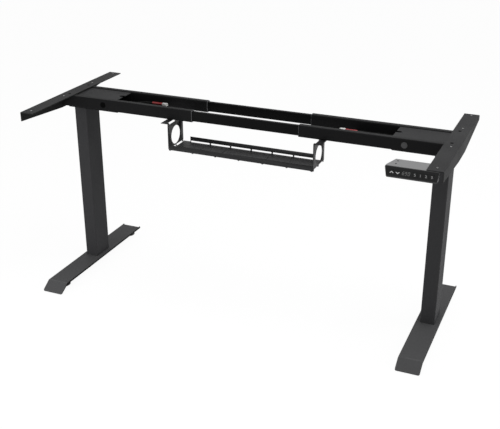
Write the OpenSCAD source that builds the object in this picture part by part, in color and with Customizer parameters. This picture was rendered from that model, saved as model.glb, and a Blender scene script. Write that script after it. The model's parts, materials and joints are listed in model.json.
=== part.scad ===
// Height-adjustable desk frame at its lowest setting, with its cable tray and its handset.
// The origin is on the floor under the middle of the frame. +X is the user's right,
// +Y points away from the user and +Z is up. Each piece of a leg is drawn for the right side
// of the frame and mirrored for the left side.

/* [Frame] */
// Height of the bracket tops at the lowest setting
frame_h = 690; // [660:5:760]
// Width over the two side brackets
frame_w = 1444; // [1400:2:1500]
// How far the columns rise
lift_travel = 470; // [300:10:480]
// How far each half of the crossbar pushes in
width_in = 165; // [60:5:170]
// How far each half of the crossbar pulls out
width_out = 185; // [60:5:200]
// Distance from a bracket's outer face to its column's centre
leg_inset = 57; // [54:0.5:62]

/* [Feet] */
// Width of a foot
foot_w = 80; // [72:1:100]
// Flat length of a foot in front of the column's centre
foot_front = 277; // [240:1:300]
// Flat length of a foot behind the column's centre
foot_rear = 258; // [240:1:300]
// Length of the sloping toe, seen from above
toe_run = 41; // [30:1:60]
// Height of a foot's top face over the floor
foot_top = 32; // [30:0.5:36]
// Height of the toe's end over the floor
toe_end = 5.5; // [4.5:0.5:10]
// Thickness of a foot's sheet
foot_t = 3; // [2:0.5:4]
// Depth of a foot's folded edges, with the sheet
foot_edge = 7; // [7:0.5:12]
// Radius of the toe's corners
toe_corner = 5; // [5:1:25]
// How far the folded edges run past the plate at the heel
heel_ear = 8; // [4:0.5:12]
// Distance of each levelling glide from the column's centre
glide_reach = 240; // [150:5:245]
// Radius of a glide's pad
glide_r = 23; // [16:0.5:30]
// Thickness of a glide's pad
glide_pad = 8; // [6:0.5:10]
// Radius of a glide's stud
stud_r = 4; // [3:0.5:5]
// How far a glide screws out
glide_travel = 8; // [4:0.5:8]

/* [Columns] */
// Width of the outer column
column_w = 50; // [46:1:60]
// Depth of the outer column
column_d = 88; // [70:1:100]
// Wall of both columns
column_wall = 1.5; // [1.2:0.1:2]
// Corner radius of the outer column
column_corner = 4; // [3:0.5:8]
// Space between the two columns that the glide bushes fill
bush_space = 1.5; // [1.2:0.1:2]
// Height of the glide bushes
bush_h = 40; // [20:1:60]
// Radius of the lifting spindle
spindle_r = 6; // [5:0.5:8]
// Outer radius of the tube that carries the drive nut
nut_tube_r = 12; // [11:0.5:14]
// Wall of the nut tube
nut_tube_wall = 2.5; // [1.5:0.5:3]
// Height of the column's base plate
base_h = 8; // [6:0.5:12]

/* [Crossbar] */
// Height of the outer rails
rail_h = 41; // [34:1:44]
// Depth of the outer rails, front to back
rail_w = 22; // [20:1:28]
// Wall of the outer rails
rail_wall = 3; // [2:0.5:3.5]
// Wall of the centre rails
centre_wall = 2; // [1.5:0.5:2.5]
// Corner radius of the outer rails
rail_corner = 4.5; // [4:0.5:6]
// Space between the front and the rear rail
rail_gap = 103; // [100:1:120]
// Half the space left between the outer rails when the crossbar is pushed in
rail_meet = 30; // [20:1:50]
// Length of centre rail that stays in an outer rail when the crossbar is pulled out
rail_hold = 100; // [80:5:110]

/* [Brackets] */
// Width of a side bracket's top plate
bracket_w = 51; // [46:1:60]
// Thickness of a side bracket
bracket_t = 3; // [2:0.5:4]
// Length of a bracket in front of the column's centre
bracket_front = 318; // [290:1:340]
// Length of a bracket behind the column's centre
bracket_rear = 259; // [240:1:300]
// Depth of the bracket's folded side at the front
flange_front = 33; // [20:1:45]
// Depth of the bracket's folded side over the rails
flange_deep = 51; // [42:1:60]
// Depth of the bracket's folded side at the back
flange_rear = 16; // [10:1:40]
// Radius of the holes for the desktop's screws
desk_hole_r = 3; // [2:0.5:4]
// Radius of the bracket screws' shanks
screw_r = 3; // [2.5:0.5:4]

/* [Drives] */
// Length of the mounting channel along the crossbar
channel_len = 204; // [196:2:216]
// Thickness of the mounting channel's sheet
channel_t = 3; // [2:0.5:4]
// How far the channel's floor hangs below the rails
channel_drop = 9; // [6:0.5:9]
// Length of the ledge that carries the motor lead
ledge_len = 150; // [130:5:160]
// Thickness of the cover over a motor
cover_t = 2; // [1.5:0.5:3]
// Width of the cover's slot for the motor lead
notch_w = 16; // [12:1:30]
// Length of the cover's slot for the motor lead
notch_len = 18; // [8:1:30]
// Radius of the motor's can
motor_r = 17; // [14:0.5:17.5]
// Length of the motor's can
motor_len = 90; // [70:1:90]
// Radius of the plug in the front rail
rail_plug_r = 9; // [8:0.5:12]

/* [Cable tray] */
// Length of the tray between its end plates
tray_len = 530; // [480:5:560]
// Width of the tray
tray_w = 112; // [90:1:130]
// Height of the tray
tray_h = 96; // [80:1:110]
// Thickness of the tray's sheet
tray_t = 1.5; // [1:0.5:2.5]
// Length of the tabs that hold the tray
tab_len = 26; // [20:1:30]
// Height of the tray's front and rear edges
tray_lip = 20; // [14:1:30]
// Radius of the cable holes in the end plates
cable_hole_r = 33; // [20:1:36]
// Width of the slots that let the sheet fold by hand
fold_slot_w = 3; // [2:0.5:4]
// Number of slots along a long fold
long_slots = 6; // [3:1:10]

/* [Handset] */
// Width of the handset
handset_w = 160; // [140:1:180]
// Height of the handset
handset_h = 36; // [32:1:44]
// Depth of the handset, front to back
handset_d = 62; // [50:1:70]
// Width of a key
key_w = 13; // [10:0.5:14]
// Height of a key
key_h = 16; // [12:0.5:18]
// How far a key presses in
key_travel = 0.8; // [0.4:0.1:1]

/* [Hidden] */
$fn = 48;

// How far a cutting shape runs past what it cuts
over = 1;
// Space between two bodies that slide or rest on each other
slide_gap = 0.3;
// Space all round a shaft in its bore
running_gap = 0.05;

// The middle of the leg is shifted so that the frame stands evenly round the origin
front_reach = max(bracket_front, foot_front + toe_run);
rear_reach = max(bracket_rear, foot_rear + heel_ear);
leg_y = (front_reach - rear_reach) / 2;
leg_x = frame_w / 2 - leg_inset;
rail_start = rail_meet + width_in;
centre_half = rail_start + width_out + rail_hold;
bracket_out = frame_w / 2;
bracket_in = bracket_out - bracket_w;

// Heights of the crossbar's layers
rail_top = frame_h - bracket_t;
rail_bottom = rail_top - rail_h;
rail_mid = rail_bottom + rail_h / 2;
rail_y = (rail_gap + rail_w) / 2;
rail_end = bracket_out - bracket_t;
channel_floor = rail_bottom - channel_drop;
channel_top = rail_top - bracket_t - cover_t;
channel_end = rail_end - bracket_t * 4;
channel_start = channel_end - channel_len;
ledge_top = rail_bottom + channel_t + channel_t + cover_t;

// The columns, from the foot up to the channel
column_gap = 1;
column_top = channel_floor - column_gap;
column_lift = 13;
inner_w = column_w - 2 * (column_wall + bush_space);
inner_d = column_d - 2 * (column_wall + bush_space);
inner_corner = column_corner - column_wall - bush_space / 2;
nut_h = 38;
nut_flange = 6;
nut_flange_rim = 2.5;
nut_flange_r = nut_tube_r + nut_flange_rim;
nut_drop = 70;
nut_top = channel_floor - nut_drop;
spindle_foot = nut_top - lift_travel - nut_h * 0.9;
gearbox_w = 60;
gearbox_d = 62;
gearbox_h = 34;
gearbox_corner = 7;
spindle_seat = 20;

// Feet
weld_nut_r = 9;
weld_nut_hold = 5;
weld_nut_h = glide_travel + weld_nut_hold;
base_fit = 0.2;
bolt_r = 3;
bolt_head_r = 5.2;
bolt_head_h = 3.2;
bolt_x = column_w * 0.28;
bolt_y = column_d * 0.33;
edge_round = 2.5;
foot_under = foot_top - foot_t;

// Brackets
desk_hole_front = 28;
desk_hole_rear = 14;
desk_hole_inner = 95;
desk_hole_x = bracket_in + bracket_w / 2;
bracket_screw_x = bracket_in + bracket_w * 0.42;
deep_front_y = 80;
deep_rear_y = 22;
bracket_round = 3;
screw_head_r = 6;
screw_len = 9;

// Motors
motor_end_r = 13;
motor_end = 10;
motor_clear = 0.5;
motor_mid = channel_floor + channel_t + motor_r + motor_clear;
lock_head_r = 5;
lock_head_h = 3.5;
socket_r = 2.3;
socket_deep = 2;
lock_in = 20;
plug_rim = 1.2;
plug_head_r = rail_plug_r + plug_rim;
plug_head_h = 1.4;
plug_reach = 117;
plug_x = leg_x - plug_reach;

// The motor leads, from the motor's end to the connector, in the right side's frame
lead_d = 5;
lead_sides = 8;
sleeve_r = 5;
sleeve_len = 42;
connector_len = 19;
connector_w = 12;
connector_h = 9;
left_lead_route = [
    [535, 0, 657], [527, 0, 657], [519, 0, 657], [511, 1, 657], [503, 2, 657], [495, 5, 657],
    [487, 9, 657], [479, 14, 657], [471, 20, 657], [463, 26, 657], [455, 32, 658], [446, 37, 658],
    [437, 41, 659], [428, 43, 659], [420, 44, 659], [412, 44, 659]
];
right_lead_route = [
    [535, 0, 657], [524, 0, 657], [512, 0, 657], [500, 1, 657], [488, 4, 657], [476, 8, 657],
    [464, 12, 657], [452, 16, 657], [440, 19, 657], [428, 21, 657], [416, 22, 657], [404, 22, 657],
    [392, 22, 658], [380, 22, 659], [368, 22, 659]
];

// Tray
tray_top = rail_bottom - slide_gap;
tray_floor = tray_top - tray_h;
tray_y = -rail_y;
tray_half = tray_len / 2;
tab_hole_r = 3;
hole_drop = 54;
rear_lip_in = 30;
bridge_len = 4;
tab_slot_len = 36;
end_slot_shares = [0.16, 0.46];

// Handset
handset_inset = 9;
handset_right = bracket_out - bracket_t - handset_inset;
handset_x = handset_right - handset_w / 2;
handset_top = rail_top;
handset_front = bracket_front;
handset_corner = 4;
arc_steps = 6;
foot_share = 0.93;
back_share = 0.78;
handset_hole_r = 3;
handset_hole_deep = 6;
handset_hole_x_share = 0.33;
handset_hole_shares = [0.35, 0.75];
panel_t = 2;
panel_rim = 2;
panel_corner = 2.5;
chin = 4;
key_gap = 0.3;
key_depth = 5;
key_proud = 0.5;
// Places of the keys as shares of the handset's width, from its left side
key_shares = [0.135, 0.245, 0.559, 0.66, 0.761, 0.865];
key_rise = handset_h * 0.53;

steel_black = [0.16, 0.16, 0.17];
rail_black = [0.09, 0.09, 0.10];
foot_black = [0.28, 0.28, 0.29];
bare_steel = [0.62, 0.63, 0.65];
nylon_white = [0.9, 0.9, 0.87];

// Draws children for the right side of the frame, or mirrors them to the left side
module on_side(side) {
    translate([0, leg_y, 0])
        if (side == "left")
            mirror([1, 0, 0]) children();
        else
            children();
}

// Extrudes a front-to-back section, drawn as Y and Z, along X
module along_x(from, to) {
    translate([from, 0, 0])
        rotate([90, 0, 90])
            linear_extrude(to - from)
                children();
}

// Extrudes a side-to-side section, drawn as X and Z, along Y
module along_y(from, to) {
    translate([0, to, 0])
        rotate([90, 0, 0])
            linear_extrude(to - from)
                children();
}

// Stands a plan, drawn as X and Y, from one height to another
module upright(from, to) {
    translate([0, 0, from])
        linear_extrude(to - from)
            children();
}

// A rectangle with round corners, about its centre
module round_rect(w, d, r) {
    square([w - 2 * r, d], center = true);
    square([w, d - 2 * r], center = true);
    for (x = [-1, 1], y = [-1, 1])
        translate([x * (w / 2 - r), y * (d / 2 - r)])
            circle(r);
}

// A tube's section with round corners
module tube_section(w, d, wall, r) {
    difference() {
        round_rect(w, d, r);
        round_rect(w - 2 * wall, d - 2 * wall, r - wall / 2);
    }
}

// A slot with round ends along the first axis
module slot(length, width) {
    square([length - width, width], center = true);
    for (x = [-1, 1])
        translate([x * (length - width) / 2, 0])
            circle(width / 2);
}

// Side view of the foot's sheet and its folded edges
module foot_profile() {
    polygon([
        [-foot_front - toe_run, toe_end],
        [-foot_front, foot_top],
        [foot_rear + heel_ear, foot_top],
        [foot_rear + heel_ear, foot_top - foot_edge],
        [-foot_front, foot_top - foot_edge],
        [-foot_front - toe_run, toe_end - foot_t]
    ]);
}

// Side view of the space under the foot's sheet
module foot_hollow_profile() {
    slope = (foot_top - toe_end) / toe_run;
    polygon([
        [-foot_front - toe_run - over, toe_end - foot_t - slope * over],
        [-foot_front, foot_under],
        [foot_rear - foot_t, foot_under],
        [foot_rear - foot_t, -over],
        [-foot_front - toe_run - over, -over]
    ]);
}

// Plan of the foot with its round toe
module foot_plan() {
    difference() {
        union() {
            translate([-foot_w / 2, -foot_front - toe_run + toe_corner])
                square([foot_w, foot_front + toe_run - toe_corner + foot_rear + heel_ear]);
            translate([-foot_w / 2 + toe_corner, -foot_front - toe_run])
                square([foot_w - 2 * toe_corner, toe_corner]);
            for (x = [-1, 1])
                translate([x * (foot_w / 2 - toe_corner), -foot_front - toe_run + toe_corner])
                    circle(toe_corner);
        }
        translate([-foot_w / 2 + foot_t, foot_rear])
            square([foot_w - 2 * foot_t, heel_ear + over]);
    }
}

// Front view of the foot, which rounds its long folds
module foot_front_view() {
    translate([-foot_w / 2, 0])
        square([foot_w, foot_top - edge_round]);
    translate([-foot_w / 2 + edge_round, 0])
        square([foot_w - 2 * edge_round, foot_top]);
    for (x = [-1, 1])
        translate([x * (foot_w / 2 - edge_round), foot_top - edge_round])
            circle(edge_round);
}

// Folded sheet foot with weld nuts for its glides
module foot() {
    color(foot_black)
        translate([leg_x, 0, 0])
            difference() {
                union() {
                    difference() {
                        intersection() {
                            upright(0, foot_top) foot_plan();
                            along_x(-foot_w / 2, foot_w / 2) foot_profile();
                            along_y(-foot_front - toe_run, foot_rear + heel_ear) foot_front_view();
                        }
                        along_x(-foot_w / 2 + foot_t, foot_w / 2 - foot_t) foot_hollow_profile();
                    }
                    for (y = [-1, 1])
                        translate([0, y * glide_reach, foot_under - weld_nut_h])
                            cylinder(r = weld_nut_r, h = weld_nut_h, $fn = 6);
                }
                for (y = [-1, 1])
                    translate([0, y * glide_reach, foot_under - weld_nut_h - over])
                        cylinder(r = stud_r + running_gap, h = weld_nut_h + over);
                for (x = [-1, 1], y = [-1, 1])
                    translate([x * bolt_x, y * bolt_y, foot_under - over])
                        cylinder(r = bolt_r + running_gap, h = foot_t + 2 * over);
            }
}

// Levelling glide: a round pad with a stud that screws into the foot's weld nut
module glide(end) {
    pad_edge = glide_pad * 0.6;
    color("dimgray")
        translate([leg_x, end * glide_reach, 0])
            rotate_extrude()
                polygon([
                    [0, 0], [glide_r - edge_round, 0], [glide_r, edge_round], [glide_r, pad_edge],
                    [glide_r * 0.6, glide_pad], [stud_r, glide_pad],
                    [stud_r, foot_under - running_gap], [0, foot_under - running_gap]
                ]);
}

// The four bolts that hold the column's base plate on the foot
module foot_bolts() {
    color("silver")
        for (x = [-1, 1], y = [-1, 1])
            translate([leg_x + x * bolt_x, y * bolt_y, foot_under - bolt_head_h])
                union() {
                    cylinder(r = bolt_head_r, h = bolt_head_h);
                    cylinder(r = bolt_r, h = bolt_head_h + foot_t + base_h * 0.8);
                }
}

// Outer column, a rectangular steel tube
module outer_column() {
    color(steel_black)
        translate([leg_x, 0, 0])
            upright(foot_top, column_top)
                tube_section(column_w, column_d, column_wall, column_corner);
}

// Base plate in the column's foot, with the tube that carries the drive nut
module column_base() {
    base_w = column_w - 2 * column_wall - 2 * base_fit;
    base_d = column_d - 2 * column_wall - 2 * base_fit;
    color("gray")
        translate([leg_x, 0, 0])
            difference() {
                union() {
                    upright(foot_top, foot_top + base_h)
                        round_rect(base_w, base_d, column_corner - column_wall / 2);
                    upright(foot_top + base_h, nut_top - nut_flange)
                        circle(nut_tube_r);
                }
                upright(foot_top + base_h, nut_top)
                    circle(nut_tube_r - nut_tube_wall);
                for (x = [-1, 1], y = [-1, 1])
                    translate([x * bolt_x, y * bolt_y, foot_top - over])
                        cylinder(r = bolt_r + running_gap, h = base_h + 2 * over);
            }
}

// Flanged drive nut at the top of the nut tube
module drive_nut() {
    color(nylon_white)
        translate([leg_x, 0, 0])
            difference() {
                union() {
                    upright(nut_top - nut_flange, nut_top) circle(nut_flange_r);
                    upright(nut_top - nut_h, nut_top - nut_flange) circle(nut_tube_r - nut_tube_wall);
                }
                upright(nut_top - nut_h - over, nut_top + over) circle(spindle_r + running_gap);
            }
}

// Glide bush inside the top of the outer column
module column_bush() {
    color(nylon_white)
        translate([leg_x, 0, 0])
            upright(column_top - bush_h, column_top)
                difference() {
                    round_rect(column_w - 2 * column_wall, column_d - 2 * column_wall,
                               column_corner - column_wall / 2);
                    round_rect(inner_w + 2 * slide_gap, inner_d + 2 * slide_gap,
                               inner_corner + slide_gap);
                }
}

// Inner column, which slides out of the outer one and is welded under the channel
module inner_column() {
    color(steel_black)
        translate([leg_x, 0, 0])
            upright(foot_top + column_lift, channel_floor)
                tube_section(inner_w, inner_d, column_wall, inner_corner);
}

// Glide bush round the lower end of the inner column
module lower_bush() {
    outer_w = column_w - 2 * column_wall - 2 * slide_gap;
    outer_d = column_d - 2 * column_wall - 2 * slide_gap;
    color(nylon_white)
        translate([leg_x, 0, 0])
            upright(foot_top + column_lift, foot_top + column_lift + bush_h)
                difference() {
                    round_rect(outer_w, outer_d, column_corner - column_wall / 2 - slide_gap);
                    round_rect(inner_w, inner_d, inner_corner);
                }
}

// Lifting spindle, turned by the gearbox
module spindle() {
    color(bare_steel)
        translate([leg_x, 0, 0])
            upright(spindle_foot, channel_floor + channel_t + spindle_seat)
                circle(spindle_r);
}

// Folded channel between the rails that carries the column and the drive, with a ledge for the lead
module mount_channel() {
    half = rail_gap / 2;
    riser = channel_start + channel_t;
    color(rail_black)
        difference() {
            union() {
                along_x(channel_start, channel_end)
                    difference() {
                        translate([-half, channel_floor])
                            square([2 * half, channel_top - channel_floor]);
                        translate([-half + channel_t, channel_floor + channel_t])
                            square([2 * half - 2 * channel_t, channel_top - channel_floor]);
                    }
                along_y(-half, half)
                    polygon([
                        [riser, channel_floor], [riser, ledge_top],
                        [channel_start - ledge_len, ledge_top],
                        [channel_start - ledge_len, ledge_top - channel_t],
                        [channel_start, ledge_top - channel_t], [channel_start, channel_floor]
                    ]);
            }
            translate([leg_x, 0, 0])
                upright(channel_floor - over, channel_floor + channel_t + over)
                    circle(spindle_r * 1.5);
        }
}

// Worm gearbox over the column
module gearbox() {
    seat = channel_floor + channel_t;
    color("dimgray")
        translate([leg_x, 0, 0])
            difference() {
                union() {
                    upright(seat, seat + gearbox_h)
                        round_rect(gearbox_w, gearbox_d, gearbox_corner);
                    upright(seat + gearbox_h, seat + gearbox_h + cover_t)
                        circle(spindle_r * 3);
                }
                upright(seat - over, seat + spindle_seat + over)
                    circle(spindle_r + running_gap);
            }
}

// Motor can with its end bell, lying along the crossbar
module motor() {
    can_end = leg_x - gearbox_w / 2;
    color("gray")
        translate([can_end, 0, motor_mid])
            rotate([0, -90, 0])
                rotate_extrude()
                    polygon([
                        [0, 0], [motor_r, 0], [motor_r, motor_len - edge_round],
                        [motor_r - edge_round, motor_len], [motor_end_r, motor_len],
                        [motor_end_r, motor_len + motor_end], [0, motor_len + motor_end]
                    ]);
}

// Cover plate over the motor, with a slot for the lead in its end
module motor_cover() {
    half = rail_gap / 2;
    color(foot_black)
        difference() {
            along_x(channel_start, channel_end)
                translate([-half, channel_top])
                    square([2 * half, cover_t]);
            upright(channel_top - over, channel_top + cover_t + over) {
                translate([channel_start - over, -notch_w / 2])
                    square([notch_len - notch_w / 2 + over, notch_w]);
                translate([channel_start + notch_len - notch_w / 2, 0])
                    circle(notch_w / 2);
            }
        }
}

// One outer rail of the crossbar
module outer_rail(end) {
    back = end * rail_y + rail_w / 2;
    color(rail_black)
        difference() {
            along_x(rail_start, rail_end)
                translate([end * rail_y, rail_mid])
                    tube_section(rail_w, rail_h, rail_wall, rail_corner);
            translate([bracket_screw_x, end * rail_y, 0])
                upright(rail_top - rail_wall - over, rail_top + over)
                    circle(screw_r + running_gap);
            translate([rail_start + lock_in, 0, rail_mid])
                along_y(back - rail_wall - over, back + over)
                    circle(screw_r + running_gap);
            if (end < 0)
                translate([plug_x, 0, rail_mid])
                    along_y(-rail_y - rail_w / 2 - over, -rail_y - rail_w / 2 + rail_wall + over)
                        circle(rail_plug_r);
        }
}

// Plug that closes the access hole in the front rail
module rail_plug() {
    face = -rail_y - rail_w / 2;
    color("dimgray")
        translate([plug_x, 0, rail_mid]) {
            along_y(face, face + rail_wall) circle(rail_plug_r - running_gap);
            along_y(face - plug_head_h, face) circle(plug_head_r);
        }
}

// Socket screws in the rails' far sides, which lock the centre rails in the outer ones
module lock_screws() {
    color("silver")
        for (end = [-1, 1])
            translate([rail_start + lock_in, end * rail_y + rail_w / 2, rail_mid])
                rotate([-90, 0, 0])
                    difference() {
                        union() {
                            cylinder(r = lock_head_r, h = lock_head_h);
                            translate([0, 0, -rail_wall])
                                cylinder(r = screw_r, h = rail_wall + lock_head_h / 2);
                        }
                        translate([0, 0, lock_head_h - socket_deep])
                            cylinder(r = socket_r, h = socket_deep + over, $fn = 6);
                    }
}

// Side view of the bracket's folded side
module flange_profile() {
    polygon([
        [-bracket_front, frame_h], [-bracket_front, frame_h - flange_front],
        [-deep_front_y, frame_h - flange_deep], [deep_rear_y, frame_h - flange_deep],
        [bracket_rear, frame_h - flange_rear], [bracket_rear, frame_h]
    ]);
}

// Front view of the bracket, which rounds its fold
module bracket_front_view() {
    low = frame_h - flange_deep;
    translate([bracket_in, low])
        square([bracket_w, flange_deep - bracket_round]);
    translate([bracket_in, low])
        square([bracket_w - bracket_round, flange_deep]);
    translate([bracket_out - bracket_round, frame_h - bracket_round])
        circle(bracket_round);
}

// Side bracket: a long top plate with one tapered folded side
module bracket() {
    desk_holes = [-bracket_front + desk_hole_front, -desk_hole_inner, desk_hole_inner,
                  bracket_rear - desk_hole_rear];
    color(foot_black)
        difference() {
            intersection() {
                union() {
                    translate([bracket_in, -bracket_front, rail_top])
                        cube([bracket_w, bracket_front + bracket_rear, bracket_t]);
                    along_x(bracket_out - bracket_t, bracket_out)
                        flange_profile();
                }
                along_y(-bracket_front, bracket_rear)
                    bracket_front_view();
            }
            for (y = desk_holes)
                translate([desk_hole_x, y, rail_top - over])
                    cylinder(r = desk_hole_r, h = bracket_t + 2 * over);
            for (end = [-1, 1])
                translate([bracket_screw_x, end * rail_y, 0]) {
                    upright(rail_top - over, rail_top + over) circle(screw_r + running_gap);
                    translate([0, 0, rail_top])
                        cylinder(r1 = screw_r + running_gap, r2 = screw_head_r + running_gap,
                                 h = bracket_t);
                    upright(frame_h, frame_h + over) circle(screw_head_r + running_gap);
                }
        }
}

// Countersunk screws through the bracket into the rails
module bracket_screws() {
    color([0.05, 0.05, 0.05])
        for (end = [-1, 1])
            translate([bracket_screw_x, end * rail_y, rail_top])
                difference() {
                    union() {
                        cylinder(r1 = screw_r, r2 = screw_head_r, h = bracket_t);
                        translate([0, 0, -screw_len])
                            cylinder(r = screw_r, h = screw_len);
                    }
                    translate([0, 0, bracket_t - socket_deep])
                        cylinder(r = socket_r, h = socket_deep + over, $fn = 6);
                }
}

// Unit vector, and the heading of a route at one of its points
function unit(v) = v / norm(v);
function heading(p, i) = unit(p[min(i + 1, len(p) - 1)] - p[max(i - 1, 0)]);
function ring(c, d, r, n) =
    let (s = unit(cross(d, [0, 0, 1])), u = cross(s, d))
    [for (k = [0:n - 1]) c + r * cos(360 * k / n) * s + r * sin(360 * k / n) * u];

// A round tube swept along a route
module cord_tube(route, d, n) {
    last = len(route) - 1;
    points = [for (i = [0:last]) each ring(route[i], heading(route, i), d / 2, n)];
    walls = [for (i = [0:last - 1], k = [0:n - 1])
        let (a = i * n + k, b = i * n + (k + 1) % n)
        each [[a, b, b + n], [a, b + n, a + n]]];
    start_cap = [for (k = [n - 1:-1:0]) k];
    end_cap = [for (k = [0:n - 1]) last * n + k];
    polyhedron(points, concat([start_cap], walls, [end_cap]));
}

// Motor lead, which lies on the channel's ledge
module motor_lead(route) {
    color([0.04, 0.04, 0.04])
        cord_tube(route, lead_d, lead_sides);
}

// Dark red sleeve over the joint of the lead
module lead_sleeve(route) {
    end = route[len(route) - 1];
    color([0.45, 0.1, 0.1])
        translate([end[0] - sleeve_len, end[1], end[2]])
            rotate([0, 90, 0])
                cylinder(r = sleeve_r, h = sleeve_len);
}

// White connector at the end of the lead
module lead_connector(route) {
    end = route[len(route) - 1];
    color("white")
        translate([end[0] - sleeve_len - connector_len, end[1] - connector_w / 2,
                   ledge_top])
            cube([connector_len, connector_w, connector_h]);
}

// One centre rail, which slides in the two outer rails
module centre_rail(end) {
    color([0.06, 0.06, 0.065])
        translate([0, leg_y, 0])
            along_x(-centre_half, centre_half)
                translate([end * rail_y, rail_mid])
                    tube_section(rail_w - 2 * rail_wall - 2 * slide_gap,
                                 rail_h - 2 * rail_wall - 2 * slide_gap,
                                 centre_wall, rail_corner - rail_wall / 2 - slide_gap);
}

// A row of slots along X on a fold, with bridges between them
module slot_row(from, to, count) {
    pitch = (to - from) / count;
    for (i = [0:count - 1])
        translate([from + pitch * (i + 0.5), 0])
            slot(pitch - bridge_len, fold_slot_w);
}

// The slots on an end plate's two folds, drawn for the side where X is positive
module end_slots() {
    turn = [0, 0, 90];
    for (y = [-1, 1])
        translate([tray_half + fold_slot_w / 2, tray_y + y * tray_w / 4, 0])
            upright(tray_top - tray_t - over, tray_top + over)
                rotate(turn) slot(tab_slot_len, fold_slot_w);
    for (i = [0, 1])
        translate([tray_half - tray_t - fold_slot_w / 2, tray_y + (i - 0.5) * tray_w / 2, 0])
            upright(tray_floor - over, tray_floor + tray_t + over)
                rotate(turn) slot(tray_w * end_slot_shares[i], fold_slot_w);
}

// Cable tray, folded by hand from one slotted sheet
module cable_tray() {
    front = tray_y - tray_w / 2;
    back = tray_y + tray_w / 2;
    lip_front = tray_half;
    lip_rear = tray_half - rear_lip_in;
    color([0.2, 0.2, 0.21])
        translate([0, leg_y, 0])
            difference() {
                union() {
                    translate([-tray_half, front, tray_floor])
                        cube([2 * tray_half, tray_w, tray_t]);
                    for (side = [-1, 1]) {
                        translate([side * (tray_half - tray_t / 2) - tray_t / 2, front, tray_floor])
                            cube([tray_t, tray_w, tray_h]);
                        translate([side * (tray_half + tab_len / 2 - tray_t / 2) - tab_len / 2 - tray_t / 2,
                                   front, tray_top - tray_t])
                            cube([tab_len + tray_t, tray_w, tray_t]);
                    }
                    translate([-lip_front, front, tray_floor])
                        cube([2 * lip_front, tray_t, tray_lip]);
                    translate([-lip_rear, back - tray_t, tray_floor])
                        cube([2 * lip_rear, tray_t, tray_lip]);
                }
                for (side = [-1, 1]) {
                    translate([side * tray_half, tray_y, tray_top - hole_drop])
                        rotate([0, 90, 0])
                            cylinder(r = cable_hole_r, h = 4 * over + 2 * tray_t, center = true);
                    translate([side * (tray_half + tab_len / 2), tray_y, tray_top])
                        cylinder(r = tab_hole_r, h = 4 * over + 2 * tray_t, center = true);
                }
                end_slots();
                mirror([1, 0, 0]) end_slots();
                translate([0, back - fold_slot_w, 0])
                    upright(tray_floor - over, tray_floor + tray_t + over)
                        slot_row(-lip_rear, lip_rear, long_slots);
                translate([0, front + fold_slot_w, 0])
                    upright(tray_floor - over, tray_floor + tray_t + over)
                        slot_row(-lip_front, lip_front, long_slots);
            }
}

// Points of an arc round a centre, from one angle to another
function arc(centre, r, from, to) =
    [for (i = [0:arc_steps])
        let (a = from + (to - from) * i / arc_steps)
        centre + r * [cos(a), sin(a)]];

// Front outline of the handset, narrower at the bottom, with round corners
module handset_outline(inset, lower, r) {
    w = handset_w / 2 - inset;
    h = handset_h - inset - lower;
    lean = atan(w * (1 - foot_share) / handset_h);
    high_x = w - r * tan(lean) - r / cos(lean);
    low_x = w - (h - r) * tan(lean) - r / cos(lean);
    translate([0, -inset])
        polygon(concat(
            arc([high_x, -r], r, 90, -lean),
            arc([low_x, r - h], r, -lean, -90),
            arc([-low_x, r - h], r, -90, lean - 180),
            arc([-high_x, -r], r, lean - 180, -270)
        ));
}

// Handset case with a recess for the panel and the keys
module handset_case() {
    color([0.5, 0.5, 0.51])
        translate([handset_x, leg_y - handset_front, handset_top])
            difference() {
                intersection() {
                    along_y(0, handset_d) handset_outline(0, 0, handset_corner);
                    upright(-handset_h, 0)
                        polygon([
                            [-handset_w / 2, 0], [handset_w / 2, 0],
                            [handset_w / 2 * back_share, handset_d],
                            [-handset_w / 2 * back_share, handset_d]
                        ]);
                }
                along_y(-over, panel_t) handset_outline(panel_rim, chin, panel_corner);
                for (x = [-1, 1], y = handset_hole_shares)
                    translate([x * handset_w * handset_hole_x_share, y * handset_d, -handset_hole_deep])
                        cylinder(r = handset_hole_r, h = handset_hole_deep + over);
                for (share = key_shares)
                    translate([(share - 0.5) * handset_w, 0, -key_rise])
                        along_y(0, key_depth + key_travel + slide_gap)
                            square([key_w + 2 * key_gap, key_h + 2 * key_gap], center = true);
            }
}

// Gloss panel in the handset's front
module handset_panel() {
    color([0.05, 0.05, 0.05])
        translate([handset_x, leg_y - handset_front, handset_top])
            difference() {
                along_y(0, panel_t) handset_outline(panel_rim, chin, panel_corner);
                for (share = key_shares)
                    translate([(share - 0.5) * handset_w, 0, -key_rise])
                        along_y(-over, panel_t + over)
                            square([key_w + 2 * key_gap, key_h + 2 * key_gap], center = true);
            }
}

// One key of the handset
module handset_key(i) {
    color([0.1, 0.1, 0.1])
        translate([handset_x + (key_shares[i] - 0.5) * handset_w, leg_y - handset_front,
                   handset_top - key_rise])
            along_y(-key_proud, key_depth)
                square([key_w, key_h], center = true);
}

on_side("left") foot();  // left_foot
on_side("left") glide(-1);  // left_front_glide
on_side("left") glide(1);  // left_rear_glide
on_side("left") foot_bolts();  // left_foot_bolts
on_side("left") outer_column();  // left_outer_column
on_side("left") column_base();  // left_column_base
on_side("left") drive_nut();  // left_drive_nut
on_side("left") column_bush();  // left_column_bush
on_side("left") inner_column();  // left_inner_column
on_side("left") lower_bush();  // left_lower_bush
on_side("left") spindle();  // left_spindle
on_side("left") mount_channel();  // left_mount_channel
on_side("left") gearbox();  // left_gearbox
on_side("left") motor();  // left_motor
on_side("left") motor_cover();  // left_motor_cover
on_side("left") outer_rail(-1);  // left_front_rail
on_side("left") outer_rail(1);  // left_rear_rail
on_side("left") rail_plug();  // left_rail_plug
on_side("left") lock_screws();  // left_lock_screws
on_side("left") bracket();  // left_bracket
on_side("left") bracket_screws();  // left_bracket_screws
on_side("left") motor_lead(left_lead_route);  // left_motor_lead
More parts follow.
